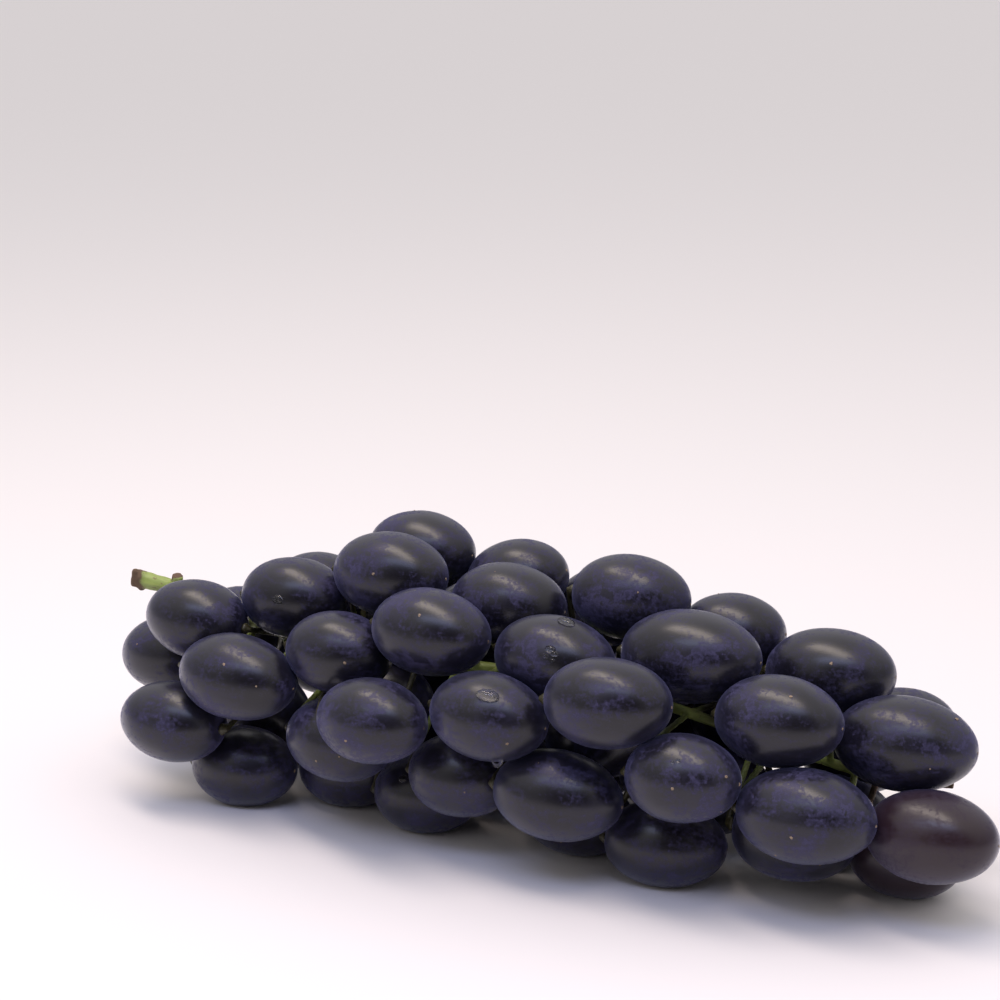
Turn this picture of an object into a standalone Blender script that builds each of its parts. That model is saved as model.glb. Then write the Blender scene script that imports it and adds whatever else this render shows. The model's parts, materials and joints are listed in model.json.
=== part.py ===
"""A bunch of dark, oval table grapes lying on its side: one branched stalk and its berries.

Metres, +Z up, the bunch resting on Z = 0. +X runs along the bunch from the cut stalk to the tip,
-Y is the bunch's front. The berries' places are chosen row by row, the berries are then
pushed apart until none bites into another, and the stalk is grown through the gaps that are left.
"""

import itertools
import math
import random

import bmesh
import bpy
import numpy as np
from mathutils import Matrix, Vector

MM = 0.001

# Berry: how thick a berry of a given length is, and how its outline departs from an ellipse.
THICKNESS_BASE = 13.0 * MM
THICKNESS_PER_LENGTH = 0.26
EGG = 0.03
BERRY_SEGMENTS = 12
BERRY_RINGS = 8
# Berries further back than this grow back towards the cut stalk, so their stems stay inside.
SHOULDER = -85.0 * MM

# Clearances: berries never touch, and the lowest ones are pressed flat by this much.
BERRY_GAP = 0.3 * MM
STALK_GAP = 0.45 * MM
PRESSED_FLAT = 0.6 * MM

# Stalk: radii at the cut end, along the rachis, and of the pedicel that carries one berry.
CUT_END_RADIUS = 2.7 * MM
RACHIS_RADIUS = 2.1 * MM
RACHIS_TIP_RADIUS = 1.1 * MM
PEDICEL_RADIUS = 0.9 * MM
THICKENING = 0.3
RECEPTACLE_RADIUS = 1.5 * MM
RECEPTACLE_LENGTH = 1.2 * MM
RACHIS_STEP = 6.0 * MM
FIRST_SHOOT = -100.0 * MM
GRID = 2.4 * MM

# The rachis, from the cut end to the dried tip, through the middle of the bunch (millimetres).
RACHIS = (
    (-124, 0, 48.5),
    (-105, 0, 46),
    (-80, 2, 38),
    (-45, 0, 36),
    (-10, -3, 37),
    (25, -7, 36),
    (60, -12, 31),
    (86, -16, 28),
    (104, -17, 29),
)
# A side shoot that was trimmed off the peduncle left this stub: start and end (millimetres).
TRIMMED_SHOOT = ((-111, 0, 47), (-110, -1, 51))
TRIMMED_SHOOT_RADIUS = 1.7 * MM

# Each row runs from the stalk end to the tip. "lean" is how far its berries point away from the
# rachis and "wobble" how far they stray from that, in degrees; "give" is how readily they shift
# when pushed; "draw" is how far the back rows close in on the rachis in each round of settling,
# in millimetres. Each berry is (along, across, height, length) in millimetres.
ROWS = {
    "ground_front": {
        "lean": 0,
        "wobble": 5,
        "give": 1.0,
        "draw": 0.0,
        "berries": (
            (-76, -24, 10, 28),
            (-54, -19, 10, 28),
            (-30, -21, 10, 27),
            (13, -22, 10, 28),
            (47, -28, 10, 29),
            (65, -26, 10, 29),
            (89, -20, 10, 27),
        ),
    },
    "low_front": {
        "lean": 0,
        "wobble": 4,
        "give": 0.7,
        "draw": 0.0,
        "berries": (
            (-86, -32, 23, 28),
            (-46, -34, 26, 28),
            (-9, -38, 22, 27),
            (13, -42, 24, 31),
        ),
    },
    "middle_front": {
        "lean": 3,
        "wobble": 4,
        "give": 0.5,
        "draw": 0.0,
        "berries": (
            (-107, -10, 32, 28),
            (-72, -35, 36, 31),
            (-26, -46, 38, 28),
            (2, -46, 40, 29),
            (26, -46, 42, 30),
            (48, -46, 35, 27),
            (76, -42, 29, 32),
            (100, -37, 25, 30),
        ),
    },
    "high_front": {
        "lean": 3,
        "wobble": 4,
        "give": 0.5,
        "draw": 0.0,
        "berries": (
            (-91, -22, 48, 27),
            (-48, -32, 46, 27),
            (-20, -31, 53, 30),
            (9, -29, 52, 30),
            (41, -26, 53, 34),
            (65, -34, 46, 30),
            (93, -22, 39, 33),
        ),
    },
    "crown": {
        "lean": 3,
        "wobble": 4,
        "give": 0.5,
        "draw": 0.0,
        "berries": (
            (-67, -15, 54, 28),
            (-36, -15, 61, 30),
            (-9, -14, 60, 29),
            (20, -12, 60, 29),
            (45, -3, 53, 26),
            (72, -10, 49, 31),
        ),
    },
    "crown_back": {
        "lean": 10,
        "wobble": 8,
        "give": 1.0,
        "draw": 0.0,
        "berries": (
            (-69, 7, 48, 26),
            (-40, 6, 63, 29),
            (-14, 8, 57, 27),
            (5, 20, 47, 27),
            (85, 3, 33, 28),
        ),
    },
    "high_back": {
        "lean": 24,
        "wobble": 12,
        "give": 2.5,
        "draw": 0.15,
        "berries": (
            (-94, 17, 33, 27),
            (-58, 24, 44, 31),
            (-28, 27, 45, 31),
            (4, 31, 37, 31),
            (28, 16, 46, 31),
            (60, 12, 37, 31),
        ),
    },
    "low_back": {
        "lean": 28,
        "wobble": 12,
        "give": 2.5,
        "draw": 0.2,
        "berries": (
            (-73, 32, 23, 30),
            (-45, 38, 28, 31),
            (-14, 40, 27, 31),
            (17, 38, 26, 31),
            (46, 31, 25, 31),
            (74, 20, 20, 30),
        ),
    },
    "ground_back": {
        "lean": 14,
        "wobble": 12,
        "give": 2.5,
        "draw": 0.12,
        "berries": (
            (-82, 10, 18, 28),
            (-62, 18, 10, 31),
            (-31, 24, 10, 31),
            (0, 24, 10, 31),
            (30, 20, 10, 31),
            (69, 11, 10, 30),
        ),
    },
    "heart": {
        "lean": 0,
        "wobble": 12,
        "give": 2.5,
        "draw": 0.0,
        "berries": (
            (-54, -3, 18, 28),
            (-14, -7, 16, 28),
            (18, -19, 29, 27),
            (47, -4, 13, 27),
        ),
    },
}

COLOURS = {
    "skin": ((0.022, 0.022, 0.045, 1.0), 0.42),
    "stalk": ((0.24, 0.36, 0.07, 1.0), 0.6),
}


# ---------------------------------------------------------------- curves in space


def smooth_line(points, step):
    """Points about a step apart on a Catmull-Rom curve through the given points."""
    points = np.asarray(points, float)
    padded = np.vstack((2 * points[0] - points[1], points, 2 * points[-1] - points[-2]))
    line = [points[0]]
    for i in range(1, len(padded) - 2):
        p0, p1, p2, p3 = padded[i - 1 : i + 3]
        count = max(1, round(np.linalg.norm(p2 - p1) / step))
        for k in range(1, count + 1):
            t = k / count
            line.append(
                0.5
                * (
                    2 * p1
                    + (p2 - p0) * t
                    + (2 * p0 - 5 * p1 + 4 * p2 - p3) * t**2
                    + (3 * p1 - p0 - 3 * p2 + p3) * t**3
                )
            )
    return np.array(line)


def unit(vector):
    return vector / np.linalg.norm(vector)


# ---------------------------------------------------------------- berries


class Berry:
    """One berry: a spheroid with a centre, half-lengths, and an axis from stem end to tip."""

    def __init__(self, name, place, length, give, draw):
        self.name = name
        self.centre = np.array(place)
        self.half_length = length / 2
        self.half_width = (THICKNESS_BASE + THICKNESS_PER_LENGTH * length) / 2
        self.give = give
        self.draw = draw
        self.axis = np.array((1.0, 0.0, 0.0))

    def point(self, rachis, lean, wobble, random_numbers):
        """Turns the axis away from the rachis by lean degrees, and at random by up to wobble."""
        nearest = rachis[np.argmin(np.linalg.norm(rachis - self.centre, axis=1))]
        outward = self.centre - nearest
        outward[0] = 0.0
        tilt = math.tan(math.radians(lean))
        stray = math.radians(wobble)
        aside = [random_numbers.uniform(-stray, stray) for _ in range(2)]
        along = -1.0 if self.centre[0] < SHOULDER else 1.0
        self.axis = unit(np.array((along, *aside)) + tilt * unit(outward))

    def spread(self, inflate=0.0):
        """The 3 by 3 matrix M whose root of n.M.n is the berry's reach along a unit vector n."""
        along, around = self.half_length + inflate, self.half_width + inflate
        outer = np.outer(self.axis, self.axis)
        return along**2 * outer + around**2 * (np.eye(3) - outer)

    def receptacle(self):
        """The two ends of the small knob the berry hangs from: at the pedicel and at the berry."""
        end = self.centre - (self.half_length + BERRY_GAP) * self.axis
        return end - RECEPTACLE_LENGTH * self.axis, end


def make_berries(rachis):
    random_numbers = random.Random(5)
    berries = []
    for row, facts in ROWS.items():
        for number, (*place, length) in enumerate(facts["berries"], 1):
            berry = Berry(
                f"berry_{row}_{number}",
                [MM * x for x in place],
                MM * length,
                facts["give"],
                MM * facts["draw"],
            )
            berry.point(rachis, facts["lean"], facts["wobble"], random_numbers)
            berries.append(berry)
    return berries


def separation(centres, spreads, first, second, tries=14):
    """The gap between pairs of spheroids, negative where they bite, and the unit vector across it."""
    apart = centres[second] - centres[first]
    normal = apart / np.linalg.norm(apart, axis=1)[:, None]
    best = np.full(len(first), -np.inf)
    best_normal = normal.copy()
    for _ in range(tries):
        m1 = np.einsum("nij,nj->ni", spreads[first], normal)
        m2 = np.einsum("nij,nj->ni", spreads[second], normal)
        reach1 = np.sqrt(np.einsum("ni,ni->n", m1, normal))
        reach2 = np.sqrt(np.einsum("ni,ni->n", m2, normal))
        gap = np.einsum("ni,ni->n", apart, normal) - reach1 - reach2
        better = gap > best
        best = np.where(better, gap, best)
        best_normal[better] = normal[better]
        slope = apart - m1 / reach1[:, None] - m2 / reach2[:, None]
        slope -= np.einsum("ni,ni->n", slope, normal)[:, None] * normal
        normal = normal + slope / (0.035 + np.linalg.norm(apart, axis=1))[:, None]
        normal /= np.linalg.norm(normal, axis=1)[:, None]
    return best, best_normal


def depth_in(berry, centre, points, radii):
    """How deep balls at the points bite into a berry at centre, and the way out of it for each."""
    inverse = np.linalg.inv(berry.spread(STALK_GAP))
    offsets = points - centre
    level = np.sqrt(np.einsum("ni,ij,nj->n", offsets, inverse, offsets))
    slope = offsets @ inverse / np.maximum(level, 1e-9)[:, None]
    steepness = np.linalg.norm(slope, axis=1)
    depth = np.maximum(0.0, (1 - level) / steepness + radii)
    return depth, slope / steepness[:, None]


def settle(berries, stalk_points, stalk_radii, rounds, drawn=0):
    """Pushes the berries off each other and off the stalk, and keeps them up on the ground.

    In the first rounds, as many as drawn says, the back rows also close in on the rachis.
    """
    centres = np.array([b.centre for b in berries])
    gives = np.array([b.give for b in berries])
    spreads = np.array([b.spread() for b in berries])
    stem_ends = np.array([b.receptacle()[0] - b.centre for b in berries])
    knob_radii = np.full(len(berries), RECEPTACLE_RADIUS)
    reach_down = np.sqrt(spreads[:, 2, 2]) - PRESSED_FLAT
    longest = 2 * max(b.half_length for b in berries)
    first, second = np.triu_indices(len(berries), 1)
    draws = np.array([b.draw for b in berries])
    for number in range(rounds):
        near = np.linalg.norm(centres[first] - centres[second], axis=1) < longest
        one, two = first[near], second[near]
        gap, normal = separation(centres, spreads, one, two)
        push = np.maximum(0.0, BERRY_GAP - gap)[:, None] * normal
        share = (gives[one] / (gives[one] + gives[two]))[:, None]
        moves = np.zeros_like(centres)
        if number < drawn:
            moves[:, 1] -= draws
        np.add.at(moves, one, -share * push)
        np.add.at(moves, two, (1 - share) * push)
        for i, berry in enumerate(berries):
            if len(stalk_points):
                depth, way_out = depth_in(berry, centres[i], stalk_points, stalk_radii)
                push = depth[:, None] * way_out
                moves[i] -= push.sum(axis=0) / max(2, np.count_nonzero(depth))
            depth, way_out = depth_in(berry, centres[i], centres + stem_ends, knob_radii)
            depth[i] = 0.0
            moves[i] -= 0.5 * (depth[:, None] * way_out).sum(axis=0)
            moves += 0.5 * depth[:, None] * way_out
        centres += 0.6 * moves
        centres[:, 2] = np.maximum(centres[:, 2], reach_down)
    for berry, centre in zip(berries, centres):
        berry.centre = centre


def berry_object(berry, parent):
    """A closed, slightly egg-shaped solid of revolution, cut flat where it presses on the ground."""
    shape = bmesh.new()
    bmesh.ops.create_uvsphere(
        shape, u_segments=BERRY_SEGMENTS, v_segments=BERRY_RINGS, radius=1.0
    )
    for vertex in shape.verts:
        swell = 1.0 - EGG * (0.4 + vertex.co.z)
        vertex.co.x *= berry.half_width * swell
        vertex.co.y *= berry.half_width * swell
        vertex.co.z *= berry.half_length
    turn = Vector(berry.axis).to_track_quat("Z", "Y")
    place = Matrix.Translation(berry.centre) @ turn.to_matrix().to_4x4()
    to_local = place.inverted()
    ground, up = to_local @ Vector((0, 0, 0)), to_local.to_3x3() @ Vector((0, 0, 1))
    cut = bmesh.ops.bisect_plane(
        shape,
        geom=[*shape.verts, *shape.edges, *shape.faces],
        plane_co=ground,
        plane_no=up,
        clear_inner=True,
    )
    rim = [g for g in cut["geom_cut"] if isinstance(g, bmesh.types.BMEdge)]
    if rim:
        bmesh.ops.contextual_create(shape, geom=rim)
    bmesh.ops.recalc_face_normals(shape, faces=shape.faces)
    mesh = bpy.data.meshes.new(berry.name)
    shape.to_mesh(mesh)
    shape.free()
    mesh.shade_smooth()
    found = bpy.data.objects.new(berry.name, mesh)
    found.location = berry.centre
    found.rotation_mode = "QUATERNION"
    found.rotation_quaternion = turn
    found.parent = parent
    bpy.context.scene.collection.objects.link(found)
    return found


# ---------------------------------------------------------------- stalk


class Branch:
    """A stretch of stalk: its points, the branch and point it springs from, and its berry."""

    def __init__(self, points, parent=None, at=0, berry=None):
        self.points = points
        self.parent = parent
        self.at = at
        self.berry = berry
        self.load = np.zeros(len(points))


def cheapest_ways(berries, rachis):
    """A grid over the bunch, and for each cell the step that leads back to the rachis at least cost.

    Growing is cheap close to the rachis, dearer towards the outside, and dearest inside a berry.
    """
    centres = np.array([b.centre for b in berries])
    corner = centres.min(axis=0) - 22 * MM
    shape = np.ceil((centres.max(axis=0) + 22 * MM - corner) / GRID).astype(int)
    cells = corner + GRID * np.stack(np.indices(shape), axis=-1).reshape(-1, 3)
    away = np.full(len(cells), np.inf)
    for point in rachis:
        away = np.minimum(away, np.linalg.norm(cells - point, axis=1))
    price = 1 + (away / (18 * MM)) ** 2
    price[cells[:, 2] < 3 * MM] += 30
    for berry in berries:
        near = np.linalg.norm(cells - berry.centre, axis=1) < berry.half_length + 2 * MM
        offsets = cells[near] - berry.centre
        inverse = np.linalg.inv(berry.spread(1.2 * MM))
        level = np.sqrt(np.einsum("ni,ij,nj->n", offsets, inverse, offsets))
        price[near] += 30 * np.maximum(0.0, 1 - level)
    price = price.reshape(shape)
    cost = np.full(shape, np.inf)
    for point in rachis:
        cost[tuple(np.round((point - corner) / GRID).astype(int))] = 0.0
    steps = [s for s in itertools.product((-1, 0, 1), repeat=3) if any(s)]
    back = np.zeros((*shape, 3), int)
    changed = True
    while changed:
        changed = False
        for step in steps:
            reached = np.roll(cost, step, axis=(0, 1, 2)) + math.hypot(*step) * price
            better = reached < cost - 1e-6
            if better.any():
                cost[better] = reached[better]
                back[better] = step
                changed = True
    return corner, cost, back


def grow(rachis, berries):
    """Gives each berry a pedicel along its cheapest way; where ways meet they share a branch."""
    shooting = rachis[rachis[:, 0] > FIRST_SHOOT]
    corner, cost, back = cheapest_ways(berries, shooting)
    branches = [Branch(rachis)]
    taken = {}
    for at in range(len(rachis) - len(shooting), len(rachis)):
        cell = tuple(np.round((rachis[at] - corner) / GRID).astype(int))
        taken.setdefault(cell, (branches[0], at))

    def first_cell(berry):
        foot = berry.receptacle()[0] - 1.5 * MM * berry.axis
        return tuple(np.round((foot - corner) / GRID).astype(int))

    for berry in sorted(berries, key=lambda b: -cost[first_cell(b)]):
        cell = first_cell(berry)
        way = []
        while cell not in taken:
            way.append(cell)
            cell = tuple(np.array(cell) - back[cell])
        parent, at = taken[cell]
        way.reverse()
        places = [parent.points[at], *(corner + GRID * np.array(c) for c in way)]
        branch = Branch(np.vstack((*places, *berry.receptacle())), parent, at, berry)
        branches.append(branch)
        for number, passed in enumerate(way, 1):
            taken[passed] = (branch, number)
    for branch in branches[1:]:
        joined, at = branch, len(branch.points) - 1
        while joined is not None:
            joined.load[: at + 1] += 1
            joined, at = joined.parent, joined.at
    return branches


def radii_of(branch):
    """Pedicel-thin where one berry hangs, thicker with each berry carried further on."""
    if branch.berry is None:
        t = np.linspace(0, 1, len(branch.points))
        radii = RACHIS_RADIUS + (RACHIS_TIP_RADIUS - RACHIS_RADIUS) * t
        radii[0], radii[1] = CUT_END_RADIUS, 0.5 * (CUT_END_RADIUS + RACHIS_RADIUS)
        return radii
    radii = PEDICEL_RADIUS * np.maximum(branch.load, 1.0) ** THICKENING
    radii[-1] = RECEPTACLE_RADIUS
    return radii


def route(branches, berries, rounds):
    """Bends every pedicel round the berries in its way and keeps it smooth."""
    for branch in branches[1:]:
        points, radii = branch.points, radii_of(branch)
        points[0] = branch.parent.points[branch.at]
        points[-2:] = branch.berry.receptacle()
        middle = points[1:-2]
        for _ in range(rounds):
            middle += 0.3 * (0.5 * (points[:-3] + points[2:-1]) - middle)
            middle[:, 2] = np.maximum(middle[:, 2], radii[1:-2] + 2 * MM)
            for other in berries:
                reach = other.half_length + 4 * MM
                if np.linalg.norm(middle - other.centre, axis=1).min(initial=1.0) < reach:
                    depth, way_out = depth_in(other, other.centre, middle, radii[1:-2])
                    middle += depth[:, None] * way_out


def tube(points, radii, sides_resolution=1):
    """A closed tube through the points, as a mesh: a poly curve with a bevel and filled caps."""
    curve = bpy.data.curves.new("tube", "CURVE")
    curve.dimensions = "3D"
    curve.bevel_depth = 1.0
    curve.bevel_resolution = sides_resolution
    curve.use_fill_caps = True
    spline = curve.splines.new("POLY")
    spline.points.add(len(points) - 1)
    for point, place, radius in zip(spline.points, points, radii):
        point.co = (*place, 1.0)
        point.radius = radius
    carrier = bpy.data.objects.new("tube", curve)
    mesh = bpy.data.meshes.new_from_object(carrier)
    bpy.data.objects.remove(carrier)
    bpy.data.curves.remove(curve)
    return mesh


def mesh_object(name, meshes, parent):
    """One object from several tube meshes, each closed by welding its caps to its sides."""
    joined = bmesh.new()
    for mesh in meshes:
        joined.from_mesh(mesh)
        bpy.data.meshes.remove(mesh)
    bmesh.ops.remove_doubles(joined, verts=joined.verts, dist=1e-6)
    bmesh.ops.recalc_face_normals(joined, faces=joined.faces)
    mesh = bpy.data.meshes.new(name)
    joined.to_mesh(mesh)
    joined.free()
    found = bpy.data.objects.new(name, mesh)
    found.parent = parent
    bpy.context.scene.collection.objects.link(found)
    return found


def thinned(branch, branches):
    """A branch's points and radii without the points where it hardly bends and nothing joins."""
    points, radii = branch.points, radii_of(branch)
    joints = {b.at for b in branches if b.parent is branch}
    kept = [0]
    for i in range(1, len(points) - 2):
        ahead, behind = points[i + 1] - points[i], points[i] - points[kept[-1]]
        straight = np.dot(unit(ahead), unit(behind)) > math.cos(math.radians(14))
        if i in joints or not straight or np.linalg.norm(behind) > 6 * MM:
            kept.append(i)
    kept += [len(points) - 2, len(points) - 1]
    return points[kept], radii[kept]


def stalk_object(branches, parent):
    """The rachis with every pedicel joined to it as one body."""
    rachis = branches[0]
    stalk = mesh_object("stalk", [tube(rachis.points, radii_of(rachis), 2)], parent)
    shoot = MM * np.array(TRIMMED_SHOOT)
    twigs = [tube(*thinned(b, branches)) for b in branches[1:]]
    twigs.append(tube(shoot, [TRIMMED_SHOOT_RADIUS] * 2, 2))
    helper = mesh_object("twigs", twigs, parent)
    helper.hide_render = True
    helper.display_type = "WIRE"
    union = stalk.modifiers.new("pedicels", "BOOLEAN")
    union.operation = "UNION"
    union.solver = "EXACT"
    union.use_self = True
    union.object = helper
    return stalk


# ---------------------------------------------------------------- the bunch


def material(name):
    colour, roughness = COLOURS[name]
    made = bpy.data.materials.new(name)
    made.use_nodes = True
    shader = made.node_tree.nodes["Principled BSDF"]
    shader.inputs["Base Color"].default_value = colour
    shader.inputs["Roughness"].default_value = roughness
    shader.inputs["Metallic"].default_value = 0.0
    return made


def centre_over_origin(bunch):
    """Puts the middle of the bunch's box, seen from above, over the origin."""
    bpy.context.view_layer.update()
    corners = np.array(
        [o.matrix_world @ v.co for o in bunch.children for v in o.data.vertices]
    )
    middle = (corners.min(axis=0) + corners.max(axis=0)) / 2
    bunch.location = (-middle[0], -middle[1], 0.0)


def main():
    for old in list(bpy.data.objects):
        bpy.data.objects.remove(old)
    rachis = smooth_line(MM * np.array(RACHIS), RACHIS_STEP)
    fine = smooth_line(MM * np.array(RACHIS), 2 * MM)
    along_rachis = np.full(len(fine), RACHIS_RADIUS)
    berries = make_berries(rachis)
    settle(berries, fine, along_rachis, rounds=220, drawn=140)
    branches = grow(rachis, berries)
    for _ in range(6):
        route(branches, berries, rounds=40)
        points = np.vstack([fine, *(b.points[1:-1] for b in branches[1:])])
        radii = [along_rachis, *(radii_of(b)[1:-1] for b in branches[1:])]
        settle(berries, points, np.concatenate(radii), rounds=40)
    route(branches, berries, rounds=40)

    bunch = bpy.data.objects.new("bunch", None)
    bpy.context.scene.collection.objects.link(bunch)
    skin, bark = material("skin"), material("stalk")
    for berry in berries:
        berry_object(berry, bunch).data.materials.append(skin)
    stalk_object(branches, bunch).data.materials.append(bark)
    centre_over_origin(bunch)


main()
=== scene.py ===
# %% [markdown]
# # A bunch of dark table grapes
# A bunch of grapes is two things: berries, and one branched stalk that carries them. The packed
# model already says where every berry lies and which way it points, so no berry is placed by eye.
# Each berry is measured, made again as a smooth fruit, and dressed in skin, bloom, scars and
# water drops.

# %% Open the frame
import json
import math
import random

import bmesh
import bpy
import numpy as np
from mathutils import Matrix, Vector, noise


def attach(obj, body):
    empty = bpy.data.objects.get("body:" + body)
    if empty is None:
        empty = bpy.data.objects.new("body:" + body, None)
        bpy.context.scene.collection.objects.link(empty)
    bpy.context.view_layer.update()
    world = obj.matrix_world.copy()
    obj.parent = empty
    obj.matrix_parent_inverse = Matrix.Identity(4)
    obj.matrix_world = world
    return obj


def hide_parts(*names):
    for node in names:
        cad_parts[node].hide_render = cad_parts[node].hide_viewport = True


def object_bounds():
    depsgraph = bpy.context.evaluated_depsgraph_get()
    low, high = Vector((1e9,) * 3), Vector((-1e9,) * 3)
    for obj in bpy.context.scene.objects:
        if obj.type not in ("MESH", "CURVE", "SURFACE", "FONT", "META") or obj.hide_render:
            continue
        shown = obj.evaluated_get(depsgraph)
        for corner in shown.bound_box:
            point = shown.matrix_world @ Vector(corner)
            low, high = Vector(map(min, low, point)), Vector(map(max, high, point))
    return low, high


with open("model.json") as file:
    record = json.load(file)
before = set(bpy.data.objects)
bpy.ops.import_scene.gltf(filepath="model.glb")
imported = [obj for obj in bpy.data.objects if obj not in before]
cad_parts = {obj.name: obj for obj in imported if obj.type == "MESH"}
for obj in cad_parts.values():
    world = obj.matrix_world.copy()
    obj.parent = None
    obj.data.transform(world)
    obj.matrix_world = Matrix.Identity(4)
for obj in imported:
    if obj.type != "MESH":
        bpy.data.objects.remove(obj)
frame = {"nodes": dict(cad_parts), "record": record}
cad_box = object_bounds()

MM = 0.001
nodes = frame["nodes"]


def mesh_of(shape, name):
    """Turns a finished bmesh into a mesh and frees it."""
    mesh = bpy.data.meshes.new(name)
    shape.to_mesh(mesh)
    shape.free()
    return mesh


def in_scene(name, data):
    """A new object for a mesh, light or camera, linked into the scene."""
    made = bpy.data.objects.new(name, data)
    bpy.context.scene.collection.objects.link(made)
    return made


berry_names = sorted(name for name in nodes if name.startswith("berry_"))
cad_corners = [[round(x, 4) for x in corner] for corner in cad_box]
print(len(berry_names), "berries and a stalk; box", cad_corners)

# %% [markdown]
# ## Measuring a berry
# A table grape of this kind is an oval, a little thicker at the stem end. The two points of its
# solid that lie furthest apart are its ends. The end that almost touches the stalk is the stem
# end, and the other one is the tip, where the flower's style has left a scar.

# %% Find every berry's ends and thickness


def places_of(node):
    """The corners of a CAD node, each one once."""
    corners = np.array([v.co[:] for v in nodes[node].data.vertices])
    return np.unique(corners.round(6), axis=0)


class Berry:
    """Where one berry lies: its stem end, its tip, its middle and how thick it is."""

    def __init__(self, name, stalk_places):
        corners = places_of(name)
        rough_middle = corners.mean(axis=0)
        one = corners[np.argmax(np.linalg.norm(corners - rough_middle, axis=1))]
        other = corners[np.argmax(np.linalg.norm(corners - one, axis=1))]
        ends = sorted((one, other), key=lambda e: np.linalg.norm(stalk_places - e, axis=1).min())
        self.name = name
        self.stem, self.tip = ends
        self.middle = (self.stem + self.tip) / 2
        self.half_length = np.linalg.norm(self.tip - self.stem) / 2
        self.axis = (self.tip - self.stem) / (2 * self.half_length)
        offsets = corners - self.middle
        sideways = offsets - np.outer(offsets @ self.axis, self.axis)
        self.half_width = np.linalg.norm(sideways, axis=1).max()
        turn = Vector(self.axis).to_track_quat("Z", "Y").to_matrix().to_4x4()
        self.place = Matrix.Translation(self.middle) @ turn

    def clearance(self, points):
        """Roughly how far points are from this berry's skin, in metres, negative inside."""
        outer = np.outer(self.axis, self.axis)
        inverse = outer / self.half_length**2 + (np.eye(3) - outer) / self.half_width**2
        offsets = points - self.middle
        level = np.sqrt(np.einsum("ni,ij,nj->n", offsets, inverse, offsets))
        slope = np.linalg.norm(offsets @ inverse, axis=1) / np.maximum(level, 1e-6)
        return (level - 1) / slope


stalk_places = places_of("stalk")
berries = [Berry(name, stalk_places) for name in berry_names]
lengths = [2 * b.half_length / MM for b in berries]
print("berries from", round(min(lengths), 1), "to", round(max(lengths), 1), "mm long")

# %% [markdown]
# ## The berry's shape
# A ball of quads is stretched to the berry's length and thickness, swollen a little towards the
# stem, and given shallow lumps a few millimetres wide, because a perfect oval reflects like
# glass. The stem end is drawn in round the stalk, and the lowest berries lie flat on the surface
# they rest on. A sculpted mesh could do the same, but every berry would then need its own
# sculpting.

# %% Shape one berry
SIDES, RINGS = 48, 32
EGG = 0.03
EGG_BALANCE = 0.2
DIMPLE_DEPTH, DIMPLE_WIDTH = 0.6 * MM, 0.035
LUMP_HEIGHT = 0.14 * MM
LUMP_WIDTH = 8 * MM


def berry_shape(berry, seed):
    """The berry as a bmesh of unit-ball quads, stretched, lumped and put in its place."""
    shape = bmesh.new()
    bmesh.ops.create_uvsphere(shape, u_segments=SIDES, v_segments=RINGS, radius=1.0)
    for vertex in shape.verts:
        height = vertex.co.z
        fatter = 1.0 - EGG * (EGG_BALANCE + height)
        drawn_in = DIMPLE_DEPTH * math.exp(-(((1 + height) / DIMPLE_WIDTH) ** 2))
        vertex.co.x *= berry.half_width * fatter
        vertex.co.y *= berry.half_width * fatter
        vertex.co.z = height * berry.half_length + drawn_in
    shape.normal_update()
    for vertex in shape.verts:
        lump = noise.noise(vertex.co / LUMP_WIDTH + Vector((seed, 0, 0)))
        vertex.co += vertex.normal * LUMP_HEIGHT * lump
    bmesh.ops.transform(shape, matrix=berry.place, verts=shape.verts)
    for vertex in shape.verts:
        vertex.co.z = max(vertex.co.z, 0.0)
    return shape


print("a berry starts as a ball of", SIDES, "sides and", RINGS, "rings")

# %% [markdown]
# ## Berries that touch
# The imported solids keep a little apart, but real berries press on each other. Each berry is
# pushed outwards along its skin's normals by half the gap to its neighbour, and never by more
# than its swell. The hidden rows may swell more, which closes gaps that would let light through
# the bunch. The gap is an estimate, so a few pairs overlap by less than a tenth of a millimetre.
# Scaling every berry up would push some of them much deeper into others.

# %% Swell a berry until it touches
SWELL = 0.42 * MM
INNER_SWELL = 0.9 * MM
INNER_ROWS = ("berry_high_back", "berry_low_back", "berry_ground_back", "berry_heart")
NEIGHBOUR_REACH = 40 * MM
WIDEST_GAP = 10


def nearest_gap(berry, points):
    """How far each point of a berry's skin is from the next berry or the ground, in mm."""
    gap = points[:, 2].copy()
    for other in berries:
        apart = np.linalg.norm(other.middle - berry.middle)
        if other is not berry and apart < NEIGHBOUR_REACH:
            gap = np.minimum(gap, other.clearance(points))
    return np.clip(gap / MM, 0, WIDEST_GAP)


def swell_of(berry):
    """How far the berry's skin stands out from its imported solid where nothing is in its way."""
    return INNER_SWELL if berry.name.startswith(INNER_ROWS) else SWELL


def swell_until_touching(shape, berry):
    """Fattens the berry by its swell, or by half the gap where a neighbour is nearer."""
    shape.normal_update()
    points = np.array([v.co[:] for v in shape.verts])
    room = nearest_gap(berry, points) * MM / 2
    for vertex, space in zip(shape.verts, np.clip(room, 0, swell_of(berry))):
        vertex.co += vertex.normal * float(space)
        vertex.co.z = max(vertex.co.z, 0.0)


inner_count = sum(b.name.startswith(INNER_ROWS) for b in berries)
print(inner_count, "hidden berries may swell by", round(INNER_SWELL / MM, 2), "mm,", end=" ")
print("the rest by", round(SWELL / MM, 2), "mm")

# %% [markdown]
# ## All the berries
# Two things are stored on each skin for later: how near each point is to a neighbour, because
# that is where the bloom gets rubbed off, and the point's place on its own berry, so that streaks
# follow the fruit. A step between one berry's places and the next's keeps any two from having the
# same pattern.

# %% Make the berries
GRAIN_STEP = 61.0


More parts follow.
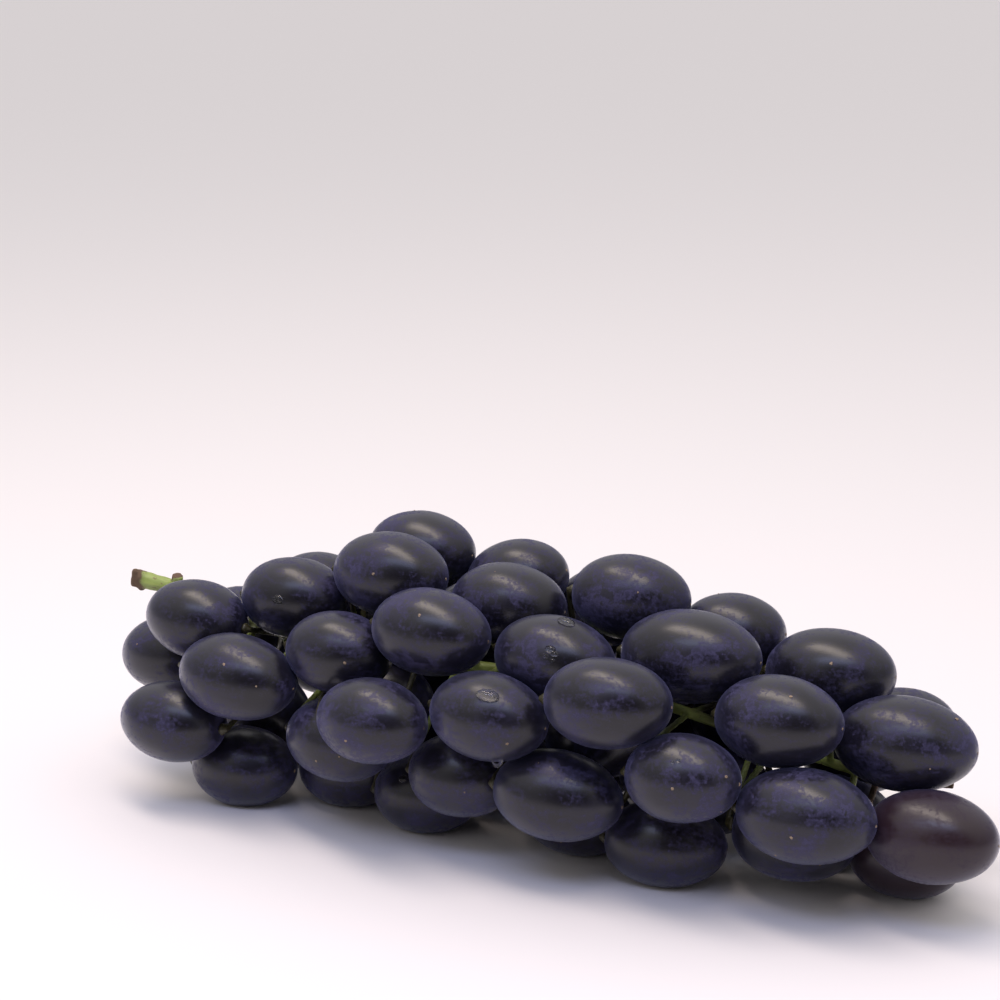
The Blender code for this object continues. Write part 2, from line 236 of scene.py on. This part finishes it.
def make_berry(berry, seed):
    """One berry's skin, with its gap and grain stored on it."""
    shape = berry_shape(berry, seed)
    swell_until_touching(shape, berry)
    mesh = mesh_of(shape, berry.name + "_skin")
    mesh.shade_smooth()
    points = np.array([v.co[:] for v in mesh.vertices])
    gap = mesh.attributes.new("gap", "FLOAT", "POINT")
    gap.data.foreach_set("value", nearest_gap(berry, points).astype(np.float32))
    to_berry = np.array(berry.place.inverted())
    own = (points @ to_berry[:3, :3].T + to_berry[:3, 3]) / MM + GRAIN_STEP * seed
    grain = mesh.attributes.new("grain", "FLOAT_VECTOR", "POINT")
    grain.data.foreach_set("vector", own.astype(np.float32).ravel())
    made = in_scene(berry.name + "_skin", mesh)
    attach(made, "root")
    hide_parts(berry.name)
    return made


skins = {b.name: make_berry(b, seed) for seed, b in enumerate(berries, 1)}
print(len(skins), "berries of", len(next(iter(skins.values())).data.polygons), "faces each")

# %% [markdown]
# ## A short way to write shader nodes
# A material here is a few dozen nodes. One helper adds a node, sets its values, and joins any
# value that is itself another node's output, so each line below reads as one step of the recipe.

# %% Node helpers


def add(tree, kind, inputs=(), **settings):
    """Adds a node. inputs maps an input's name or number to a value or another node's output."""
    made = tree.nodes.new("ShaderNode" + kind)
    for name, value in settings.items():
        setattr(made, name, value)
    for name, value in dict(inputs).items():
        if isinstance(value, bpy.types.NodeSocket):
            tree.links.new(value, made.inputs[name])
        else:
            made.inputs[name].default_value = value
    return made


def calculate(tree, operation, first, second=0.0, third=0.0, clamp=False):
    """One step of arithmetic."""
    values = {0: first, 1: second, 2: third}
    return add(tree, "Math", values, operation=operation, use_clamp=clamp).outputs[0]


def speckle(tree, place, scale, detail=3.0, roughness=0.55):
    """Cloudy noise from 0 to 1 with its blotches about 1/scale apart."""
    values = {"Vector": place, "Scale": scale, "Detail": detail, "Roughness": roughness}
    return add(tree, "TexNoise", values).outputs["Fac"]


def stretched(tree, place, scale):
    """Places squeezed along some axes, which draws a pattern out along the others."""
    return add(tree, "Mapping", {"Vector": place, "Scale": scale}).outputs["Vector"]


def remap(tree, value, low, high, to_low=0.0, to_high=1.0):
    """Turns low..high into to_low..to_high with soft ends, and holds it there outside."""
    values = {"Value": value, "From Min": low, "From Max": high}
    values |= {"To Min": to_low, "To Max": to_high}
    return add(tree, "MapRange", values, interpolation_type="SMOOTHSTEP").outputs["Result"]


def mix_colour(tree, share, first, second):
    """The first colour where share is 0, the second where it is 1."""
    made = add(tree, "Mix", {"Factor": share}, data_type="RGBA")
    for socket, value in ((made.inputs[6], first), (made.inputs[7], second)):
        if isinstance(value, bpy.types.NodeSocket):
            tree.links.new(value, socket)
        else:
            socket.default_value = (*value, 1.0)
    return made.outputs[2]


def new_group(name, inputs, outputs):
    """An empty node group with its sockets: {name: (kind, default)} in and {name: kind} out."""
    group = bpy.data.node_groups.new(name, "ShaderNodeTree")
    new_socket = group.interface.new_socket
    for label, (kind, value) in inputs.items():
        socket = new_socket(label, in_out="INPUT", socket_type="NodeSocket" + kind)
        if value is not None:
            socket.default_value = value
    for label, kind in outputs.items():
        new_socket(label, in_out="OUTPUT", socket_type="NodeSocket" + kind)
    given = group.nodes.new("NodeGroupInput").outputs
    out = group.nodes.new("NodeGroupOutput").inputs
    return group, given, out


def new_material(name):
    """A new material, its node tree and its shader."""
    made = bpy.data.materials.new(name)
    made.use_nodes = True
    return made, made.node_tree, made.node_tree.nodes["Principled BSDF"]


print("helpers for nodes, groups and materials are ready")

# %% [markdown]
# ## Bloom
# The grey-blue haze on a dark grape is a wax that the berry grows itself. It lies in clouds, runs
# in faint streaks from stem to tip, is speckled close up, and is gone where berries rub on each
# other or where a finger has wiped it. The group works out one number, how thick the wax is, from
# 0 to 1, and hands on the fine speckle as grit. It is a group because every kind of skin wears
# the same bloom.

# %% The bloom group
BARE = -4.6
CLOUDS, STREAKS, FINE = 4.4, 1.6, 3.8
RUBBED_EDGE = -2.4


def bloom_group():
    """Wax bloom: Cover is how much of it there is, Wiped how much has been rubbed off."""
    sockets = {
        "Grain": ("Vector", None),
        "Gap": ("Float", 5.0),
        "Cover": ("Float", 0.7),
        "Wiped": ("Float", 0.6),
    }
    group, given, out = new_group("wax bloom", sockets, {"Bloom": "Float", "Grit": "Float"})
    grain = given["Grain"]
    clouds = speckle(group, grain, 0.1, detail=4.0)
    streaks = speckle(group, stretched(group, grain, (1.0, 1.0, 0.22)), 0.75, detail=4.0)
    fine = speckle(group, grain, 1.0, detail=5.0, roughness=0.8)
    wax = calculate(group, "MULTIPLY_ADD", clouds, CLOUDS, BARE)
    wax = calculate(group, "MULTIPLY_ADD", streaks, STREAKS, wax)
    wax = calculate(group, "MULTIPLY_ADD", fine, FINE, wax)
    wax = calculate(group, "MULTIPLY", wax, given["Cover"])
    blotches = speckle(group, grain, 0.2, detail=6.0, roughness=0.62)
    wiped = remap(group, blotches, 0.53, 0.57)
    scratches = speckle(group, stretched(group, grain, (1.0, 0.25, 1.0)), 0.9, detail=5.0)
    wiped = calculate(group, "MAXIMUM", wiped, remap(group, scratches, 0.62, 0.66))
    wiped = calculate(group, "MULTIPLY", wiped, given["Wiped"])
    left = calculate(group, "SUBTRACT", 1.0, wiped)
    ragged = calculate(group, "MULTIPLY_ADD", blotches, RUBBED_EDGE, given["Gap"])
    untouched = remap(group, ragged, -0.9, 1.3)
    wax = calculate(group, "MULTIPLY", wax, calculate(group, "MULTIPLY", left, untouched))
    group.links.new(calculate(group, "MAXIMUM", wax, 0.0, clamp=True), out["Bloom"])
    group.links.new(fine, out["Grit"])
    return group


bloom = bloom_group()
given_out = [s.name for s in bloom.interface.items_tree if s.in_out == "OUTPUT"]
print("group", bloom.name, "gives", given_out)

# %% [markdown]
# ## Skin
# Under the wax the skin is nearly black, with a tint of blue or of wine where it is a little less
# ripe. Clean skin is glossy; wax is matt and lightens it. So the wax drives the colour, the
# roughness and the clear top layer together. A touch of sheen stands for the wax glowing where it
# is seen edge on.

# %% Skin materials
SKIN_FINISH = {
    "Coat Roughness": 0.28,
    "Coat IOR": 1.42,
    "IOR": 1.45,
    "Specular IOR Level": 0.18,
    "Sheen Weight": 0.16,
    "Sheen Roughness": 0.5,
    "Sheen Tint": (0.45, 0.48, 1.0, 1.0),
}
GRIT_STRENGTH, GRIT_HEIGHT = 0.35, 0.04 * MM


def skin_material(name, clean, waxed, cover, wiped):
    """Grape skin: clean and waxed are its colours, cover and wiped how much wax it has and lost."""
    made, tree, shader = new_material(name)
    grain = add(tree, "Attribute", attribute_name="grain").outputs["Vector"]
    gap = add(tree, "Attribute", attribute_name="gap").outputs["Fac"]
    wax = add(tree, "Group", node_tree=bloom)
    for socket, value in (("Grain", grain), ("Gap", gap)):
        tree.links.new(value, wax.inputs[socket])
    wax.inputs["Cover"].default_value = cover
    wax.inputs["Wiped"].default_value = wiped
    thick = wax.outputs["Bloom"]
    tree.links.new(mix_colour(tree, thick, clean, waxed), shader.inputs["Base Color"])
    tree.links.new(remap(tree, thick, 0.0, 0.9, 0.32, 0.55), shader.inputs["Roughness"])
    tree.links.new(remap(tree, thick, 0.0, 0.8, 0.9, 0.22), shader.inputs["Coat Weight"])
    for socket, value in SKIN_FINISH.items():
        shader.inputs[socket].default_value = value
    bumps = {"Height": wax.outputs["Grit"], "Strength": GRIT_STRENGTH, "Distance": GRIT_HEIGHT}
    grit = add(tree, "Bump", bumps)
    tree.links.new(grit.outputs["Normal"], shader.inputs["Normal"])
    return made


blue_black = skin_material(
    "blue_black_skin", (0.004, 0.003, 0.005), (0.042, 0.038, 0.085), cover=1.0, wiped=0.85
)
plum_black = skin_material(
    "plum_black_skin", (0.018, 0.007, 0.009), (0.042, 0.03, 0.042), cover=0.7, wiped=0.6
)
plum_berries = {"berry_middle_front_8", "berry_ground_front_7"}
for name, made in skins.items():
    made.data.materials.append(plum_black if name in plum_berries else blue_black)
print("plum berries:", sorted(plum_berries))

# %% [markdown]
# ## Stalk
# The stalk grew in one piece: a thick cut end, a rachis through the middle, and thin pedicels
# that swell into a knob where each berry hangs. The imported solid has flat-sided tubes, so the
# work starts from a copy of it. Every berry gets a knob, and the cut end, which dries first, gets
# lumps round its rim. They only need to overlap the stalk, because the next step joins them.

# %% Copy the stalk and add its knobs
CUT_END = next(m for m in frame["record"]["mounts"] if m["name"] == "cut_end")
KNOB_RADIUS = 1.75 * MM
KNOB_HEIGHT = 0.95 * MM
KNOB_OUTSIDE = 0.35 * MM
DRIED_LUMPS = 16


def add_shrivelled_end(shape):
    """Dried lumps round the rim of the cut, where the wood has drawn back unevenly."""
    chance = random.Random(5)
    inward = -Vector(CUT_END["axis"])
    across = inward.orthogonal().normalized()
    for _ in range(DRIED_LUMPS):
        turn = Matrix.Rotation(chance.uniform(0, math.tau), 3, inward)
        spot = Vector(CUT_END["pos_m"]) + inward * chance.uniform(0.1, 3.2) * MM
        spot += turn @ across * chance.uniform(1.5, 2.35) * MM
        size = chance.uniform(0.7, 1.15) * MM
        place = Matrix.Translation(spot)
        bmesh.ops.create_icosphere(shape, subdivisions=2, radius=size, matrix=place)


def stalk_copy():
    """The CAD stalk's surface with its loose triangles merged, and a knob at every berry."""
    shape = bmesh.new()
    shape.from_mesh(nodes["stalk"].data)
    bmesh.ops.remove_doubles(shape, verts=shape.verts, dist=1e-6)
    for berry in berries:
        knob = berry.place @ Matrix.Translation((0, 0, -berry.half_length - KNOB_OUTSIDE))
        knob = knob @ Matrix.Diagonal((KNOB_RADIUS, KNOB_RADIUS, KNOB_HEIGHT, 1.0))
        bmesh.ops.create_uvsphere(shape, u_segments=12, v_segments=8, radius=1.0, matrix=knob)
    add_shrivelled_end(shape)
    return mesh_of(shape, "stalk_core")


stalk_core = stalk_copy()
print("stalk core of", len(stalk_core.polygons), "faces, with", len(berries), "knobs")

# %% [markdown]
# ## Melting the parts together
# A voxel remesh wraps everything that overlaps in one even skin, and a light smoothing rounds off
# its steps. Joining tubes by booleans would keep the hard creases between them.

# %% Melt the stalk into one skin
VOXEL = 0.42 * MM
SMOOTHING = 5


def melted(mesh):
    """The mesh after a voxel remesh and a light smoothing."""
    carrier = in_scene("carrier", mesh)
    remesh = carrier.modifiers.new("melt", "REMESH")
    remesh.mode, remesh.voxel_size, remesh.use_smooth_shade = "VOXEL", VOXEL, True
    soften = carrier.modifiers.new("soften", "SMOOTH")
    soften.factor, soften.iterations = 0.5, SMOOTHING
    finished = carrier.evaluated_get(bpy.context.evaluated_depsgraph_get())
    result = bpy.data.meshes.new_from_object(finished)
    bpy.data.objects.remove(carrier)
    return result


stalk_mesh = melted(stalk_core)
print("melted stalk of", len(stalk_mesh.polygons), "faces")

# %% [markdown]
# ## Where the stalk is dry, and where shade is painted on it
# A cut stalk turns brown first at its cut end, at the stub of the side shoot that was trimmed
# off, and at the thin tip. How dry each place is gets stored on the mesh, and so does how deep it
# lies among the berries, where darker bark is painted on as shade. The material reads both.

# %% Make the stalk
BARK_RELIEF, BARK_GRAIN = 0.16, 2.2
STUB_FROM, STUB_TO = 8 * MM, 22 * MM
CUT_REACH, STUB_REACH, TIP_REACH = 7 * MM, 2.6 * MM, 22 * MM
SHADE_DEPTH = 6.0


def dryness(points):
    """1 where the stalk has dried: at the cut end, the trimmed side shoot and the rachis's tip."""
    cut = points[np.argmin(points[:, 0])]
    from_cut = np.linalg.norm(points - cut, axis=1)
    beside_shoot = points[(from_cut > STUB_FROM) & (from_cut < STUB_TO)]
    stub = beside_shoot[np.argmax(beside_shoot[:, 2])]
    tip = points[np.argmax(points[:, 0])]
    dry = np.clip(1.0 - (points[:, 0] - cut[0]) / CUT_REACH, 0, 1)
    for spot, reach in ((stub, STUB_REACH), (tip, TIP_REACH)):
        away = np.linalg.norm(points - spot, axis=1)
        dry = np.maximum(dry, np.clip(1.3 - away / reach, 0, 1))
    return dry


stalk_mesh.name = "stalk_bark"
outward = [vertex.normal.copy() for vertex in stalk_mesh.vertices]
for vertex, normal in zip(stalk_mesh.vertices, outward):
    vertex.co += normal * BARK_RELIEF * MM * noise.noise(vertex.co / (BARK_GRAIN * MM))
stalk_points = np.array([v.co[:] for v in stalk_mesh.vertices])
dry = stalk_mesh.attributes.new("dry", "FLOAT", "POINT")
dry.data.foreach_set("value", dryness(stalk_points).astype(np.float32))
# Painted shade: the bark is marked darker the deeper it lies among the berries, in place of the
# shade that falls there.
inner = np.min([b.clearance(stalk_points) for b in berries], axis=0) / MM
shaded = stalk_mesh.attributes.new("shaded", "FLOAT", "POINT")
shaded.data.foreach_set("value", np.clip(1.6 - inner / SHADE_DEPTH, 0, 1).astype(np.float32))
stalk = in_scene("stalk_bark", stalk_mesh)
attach(stalk, "root")
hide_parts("stalk")
along_x = stalk_points[:, 0] / MM
print("stalk from x =", round(along_x.min()), "to", round(along_x.max()), "mm")

# %% [markdown]
# ## Green bark
# A fresh grape stalk is yellow-green, finely ribbed along its length and flecked with brown.
# Where it has dried it is brown, darker in its furrows and rough. Noise stretched along the stalk
# gives the ribs, because they run its whole length without a seam.

# %% The stalk's material


def bark_material():
    """Green bark with ribs and flecks, painted a dark shade colour deep among the berries, and
    brown where it is dry.
    """
    made, tree, shader = new_material("green_bark")
    place = add(tree, "TexCoord").outputs["Object"]
    ribs = speckle(tree, stretched(tree, place, (0.12, 1.0, 1.0)), 1900.0, detail=3.0)
    blotches = speckle(tree, place, 260.0, detail=5.0, roughness=0.65)
    flecks = remap(tree, speckle(tree, place, 900.0, detail=2.0), 0.62, 0.7)
    green = mix_colour(tree, ribs, (0.19, 0.26, 0.045), (0.38, 0.46, 0.13))
    green = mix_colour(tree, calculate(tree, "MULTIPLY", flecks, 0.7), green, (0.16, 0.1, 0.04))
    # Painted shade: a dark olive for bark deep among the berries, standing in for the shade there.
    painted_shade_olive = mix_colour(tree, ribs, (0.02, 0.017, 0.008), (0.055, 0.05, 0.018))
    shaded = add(tree, "Attribute", attribute_name="shaded").outputs["Fac"]
    green = mix_colour(tree, shaded, green, painted_shade_olive)
    brown = mix_colour(tree, blotches, (0.035, 0.02, 0.012), (0.2, 0.12, 0.07))
    dry_here = add(tree, "Attribute", attribute_name="dry").outputs["Fac"]
    ragged = calculate(tree, "MULTIPLY_ADD", blotches, 0.7, dry_here)
    dried = remap(tree, ragged, 0.62, 0.82)
    tree.links.new(mix_colour(tree, dried, green, brown), shader.inputs["Base Color"])
    tree.links.new(remap(tree, dried, 0.0, 1.0, 0.45, 0.8), shader.inputs["Roughness"])
    shader.inputs["Subsurface Weight"].default_value = 0.15
    shader.inputs["Subsurface Radius"].default_value = (0.001, 0.0014, 0.0005)
    rough = add(tree, "Bump", {"Height": ribs, "Strength": 0.6, "Distance": 0.12 * MM})
    tree.links.new(rough.outputs["Normal"], shader.inputs["Normal"])
    return made


stalk.data.materials.append(bark_material())
print("stalk wears", stalk.data.materials[0].name)

# %% [markdown]
# ## Scars and specks
# Every berry has a small brown scar at its tip, where the flower's style fell off, and most have
# a tan corky speck or two. They could be painted on, but they are raised and catch the light, so
# each is a low dome set on the skin, with its corners moved a little by chance.

# %% Find a place on the skin
CORK_SIDES = 9
CORK_HEIGHT, CORK_SUNK = 0.16, 0.03
CORK_TOP, CORK_UNEVEN = 0.55, 0.22
RESTING = 1.5 * MM
RIGHT, FRONT = Vector((0.93, 0.36, 0.0)), Vector((0.34, -0.88, 0.33))


def skin_point(berry, direction):
    """The point of a berry's skin in that direction from its middle, and its normal there."""
    towards = berry.place.to_3x3().inverted() @ Vector(direction)
    shares = Vector((berry.half_width, berry.half_width, berry.half_length))
    reach = math.sqrt(sum((t / s) ** 2 for t, s in zip(towards, shares)))
    local = towards / reach
    normal = Vector([p / s**2 for p, s in zip(local, shares)]).normalized()
    outward = berry.place.to_3x3() @ normal
    return berry.place @ local + outward * swell_of(berry), outward


def front_direction(across, up):
    """A direction seen from the bunch's front: to the right and up, as shares of the edge."""
    toward = math.sqrt(max(0.0, 1 - across**2 - up**2))
    return RIGHT * across + RIGHT.cross(FRONT).normalized() * -up + FRONT * toward


def add_cork(shape, berry, direction, radius, chance):
    """A low, uneven dome of cork on the skin, but none on the side the berry rests on."""
    where, normal = skin_point(berry, direction)
    if where.z < RESTING:
        return
    turn = normal.to_track_quat("Z", "Y").to_matrix().to_4x4()
    place = Matrix.Translation(where - normal * CORK_SUNK * MM) @ turn
    made = bmesh.ops.create_cone(
        shape,
        cap_ends=True,
        segments=CORK_SIDES,
        radius1=radius,
        radius2=CORK_TOP * radius,
        depth=CORK_HEIGHT * MM,
        matrix=place,
    )
    for vertex in made["verts"]:
        vertex.co += CORK_UNEVEN * radius * Vector([chance.uniform(-1, 1) for _ in range(3)])


top, _ = skin_point(berries[0], (0, 0, 1))
print("the top of", berries[0].name, "is", round(top.z / MM, 1), "mm up")

# %% [markdown]
# ## The marks
# The berries at the front carry their specks where they catch the eye; the others get theirs by
# chance, from a fixed seed, so that the bunch is the same each time it is made.

# %% Place the marks
SCAR_RADIUS, SPECK_RADIUS = 0.45 * MM, 0.4 * MM

# Berry, then across and up on its front for each speck.
FRONT_SPECKS = {
    "berry_middle_front_2": ((-0.2, 0.28),),
    "berry_middle_front_3": ((-0.55, -0.45),),
    "berry_middle_front_4": ((0.38, -0.5),),
    "berry_middle_front_6": ((-0.28, -0.2), (0.7, 0.05)),
    "berry_middle_front_7": ((-0.38, -0.4), (-0.62, -0.75)),
    "berry_high_front_2": ((0.22, -0.25),),
    "berry_high_front_3": ((-0.22, 0.35),),
    "berry_high_front_6": ((0.16, 0.5),),
    "berry_high_front_7": ((0.75, 0.4),),
    "berry_low_front_2": ((-0.5, -0.5),),
    "berry_crown_2": ((-0.35, -0.05),),
    "berry_crown_6": ((-0.1, 0.2),),
}


def make_cork():
    """All the scars and specks as one piece, because they are one sort of thing."""
    chance = random.Random(11)
    shape = bmesh.new()
    for berry in berries:
        add_cork(shape, berry, berry.axis, SCAR_RADIUS, chance)
        for across, up in FRONT_SPECKS.get(berry.name, ()):
            add_cork(shape, berry, front_direction(across, up), SPECK_RADIUS, chance)
        for _ in range(chance.choice((0, 1, 1, 2))):
            anywhere = Vector([chance.gauss(0, 1) for _ in range(3)])
            add_cork(shape, berry, anywhere, chance.uniform(0.14, 0.26) * MM, chance)
    bmesh.ops.recalc_face_normals(shape, faces=shape.faces)
    made = in_scene("cork_marks", mesh_of(shape, "cork_marks"))
    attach(made, "root")
    return made


def cork_material():
    """Tan cork with darker blotches."""
    made, tree, shader = new_material("cork")
    place = add(tree, "TexCoord").outputs["Object"]
    blotches = speckle(tree, place, 700.0, detail=4.0)
    tan = mix_colour(tree, blotches, (0.09, 0.06, 0.04), (0.46, 0.34, 0.23))
    tree.links.new(tan, shader.inputs["Base Color"])
    shader.inputs["Roughness"].default_value = 0.7
    return made


cork = make_cork()
cork.data.materials.append(cork_material())
print("cork marks of", len(cork.data.polygons), "faces")

# %% [markdown]
# ## Water drops
# The bunch has been rinsed: a few drops still sit on the skin and one hangs under a berry. A drop
# is a ball flattened against the skin, longer along the bunch, and sunk to its middle so that it
# meets the skin at a clean edge. Real water would need a simulation to hold this shape.

# %% Make the drops
# Berry, then across and up on its front, then length, width and height in millimetres.
DROPS = (
    ("berry_middle_front_4", 0.0, 0.45, 5.6, 3.2, 1.3),
    ("berry_middle_front_4", 0.2, -0.93, 2.6, 2.2, 1.6),
    ("berry_high_front_4", -0.1, 0.2, 2.6, 1.9, 0.9),
    ("berry_high_front_4", 0.0, 0.1, 2.0, 1.5, 0.8),
    ("berry_high_front_4", -0.2, 0.06, 1.6, 1.2, 0.7),
    ("berry_high_front_4", -0.05, -0.04, 1.1, 0.9, 0.5),
    ("berry_high_front_4", 0.24, 0.8, 4.4, 2.4, 0.9),
    ("berry_ground_front_3", -0.55, 0.35, 2.6, 2.2, 0.8),
    ("berry_crown_1", -0.3, -0.1, 3.0, 2.6, 0.7),
    ("berry_middle_front_6", -0.15, 0.4, 1.0, 0.9, 0.5),
    ("berry_middle_front_6", -0.27, 0.36, 0.8, 0.7, 0.4),
    ("berry_high_back_3", 0.0, 0.5, 3.0, 2.4, 0.9),
)


def make_drops():
    """All the drops as one piece."""
    shape = bmesh.new()
    by_name = {b.name: b for b in berries}
    for name, across, up, length, width, height in DROPS:
        where, normal = skin_point(by_name[name], front_direction(across, up))
        along = Vector((1, 0, 0)) - normal * normal.x
        along.normalize()
        turn = Matrix((along, normal.cross(along), normal)).transposed().to_4x4()
        size = Matrix.Diagonal((length / 2 * MM, width / 2 * MM, height * MM, 1.0))
        place = Matrix.Translation(where) @ turn @ size
        bmesh.ops.create_uvsphere(shape, u_segments=28, v_segments=18, radius=1.0, matrix=place)
    mesh = mesh_of(shape, "water_drops")
    mesh.shade_smooth()
    made = in_scene("water_drops", mesh)
    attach(made, "root")
    return made


def water_material():
    """Clear water."""
    made, _, shader = new_material("water")
    shader.inputs["Base Color"].default_value = (1.0, 1.0, 1.0, 1.0)
    shader.inputs["Roughness"].default_value = 0.02
    shader.inputs["IOR"].default_value = 1.33
    shader.inputs["Transmission Weight"].default_value = 1.0
    return made


drops = make_drops()
drops.data.materials.append(water_material())
print(len(DROPS), "drops")

# %% [markdown]
# ## Floor
# The bunch lies on a pale, matt floor. One large flat square is enough, because only its shading
# shows.

# %% Floor
FLOOR_COLOUR = (0.84, 0.81, 0.82)
FLOOR_REACH = 20.0


def make_floor():
    """A flat square at height zero."""
    shape = bmesh.new()
    bmesh.ops.create_grid(shape, x_segments=1, y_segments=1, size=FLOOR_REACH)
    made = in_scene("floor", mesh_of(shape, "floor"))
    return made


floor = make_floor()
floor_material, _, floor_shader = new_material("floor")
floor_shader.inputs["Base Color"].default_value = (*FLOOR_COLOUR, 1.0)
floor_shader.inputs["Roughness"].default_value = 0.9
floor.data.materials.append(floor_material)
print("floor of", 2 * FLOOR_REACH, "m a side")

# %% [markdown]
# ## Light
# Dark berries show mostly what they reflect, so the light is arranged as in a studio: a broad
# warm light overhead, a cool one beside it towards the front, and a pale tent all round whose dim
# horizon keeps the middle of each berry dark. The tent has an opening towards the front, where
# the camera looks in. It reflects as a dark patch in every berry, which a closed tent would turn
# grey.

# %% Lights
AIM = Vector((0, 0, 0.03))
TENT_OPENING = (0.339, -0.882, 0.325)
OPENING_EDGE = (0.76, 0.95)
HORIZON, OVERHEAD = 0.36, 1.05


def soft_light(name, place, size, power, colour):
    """A rectangular light that faces the middle of the bunch."""
    data = bpy.data.lights.new(name, "AREA")
    data.shape = "RECTANGLE"
    data.size, data.size_y = size
    data.energy = power
    data.color = colour
    made = in_scene(name, data)
    made.location = place
    aim = AIM - Vector(place)
    made.rotation_euler = aim.to_track_quat("-Z", "Y").to_euler()


def sky():
    """A pale tent: bright overhead, dim at the horizon, dark where it opens towards the front."""
    world = bpy.data.worlds.new("tent")
    world.use_nodes = True
    tree = world.node_tree
    towards = add(tree, "TexCoord").outputs["Generated"]
    up = add(tree, "SeparateXYZ", {"Vector": towards}).outputs["Z"]
    strength = remap(tree, up, 0.05, 0.9, HORIZON, OVERHEAD)
    facing = add(tree, "VectorMath", {0: towards, 1: TENT_OPENING}, operation="DOT_PRODUCT")
    closed = remap(tree, facing.outputs["Value"], *OPENING_EDGE, 1.0, 0.08)
    strength = calculate(tree, "MULTIPLY", strength, closed)
    tent = add(tree, "Background", {"Color": (1.0, 0.97, 0.97, 1.0), "Strength": strength})
    plain = add(tree, "Background", {"Color": (0.93, 0.89, 0.9, 1.0), "Strength": 1.0})
    seen = add(tree, "LightPath").outputs["Is Camera Ray"]
    both = add(tree, "MixShader", {0: seen, 1: tent.outputs[0], 2: plain.outputs[0]})
    tree.links.new(both.outputs[0], tree.nodes["World Output"].inputs["Surface"])
    bpy.context.scene.world = world


sky()
soft_light("overhead", (-0.08, -0.14, 0.85), (0.8, 0.2), 3.8, (1.0, 0.86, 0.76))
soft_light("front_sky", (0.05, -0.5, 0.7), (0.7, 0.2), 1.7, (0.46, 0.55, 1.0))

# %% [markdown]
# ## Camera
# A long lens from the front, a little to the tip's side and a little above, aimed over the top of
# the bunch so that it lies low in the frame.

# %% Camera
AZIMUTH, ELEVATION = math.radians(21), math.radians(19)
DISTANCE = 0.6
LENS, SENSOR = 85, 36
stand_round = Vector((0.003, 0.007, 0.035))
aim_at = Vector((-0.017, 0.0157, 0.0786))
camera_data = bpy.data.cameras.new("camera")
camera_data.lens = LENS
camera_data.sensor_width = SENSOR
camera_data.clip_end = 50
camera = in_scene("camera", camera_data)
out_from = Vector((math.sin(AZIMUTH), -math.cos(AZIMUTH), math.tan(ELEVATION))).normalized()
camera.location = stand_round + DISTANCE * out_from
camera.rotation_euler = (aim_at - camera.location).to_track_quat("-Z", "Y").to_euler()
bpy.context.scene.camera = camera
bpy.context.scene.view_settings.view_transform = "Standard"
print("camera at", [round(x, 3) for x in camera.location])
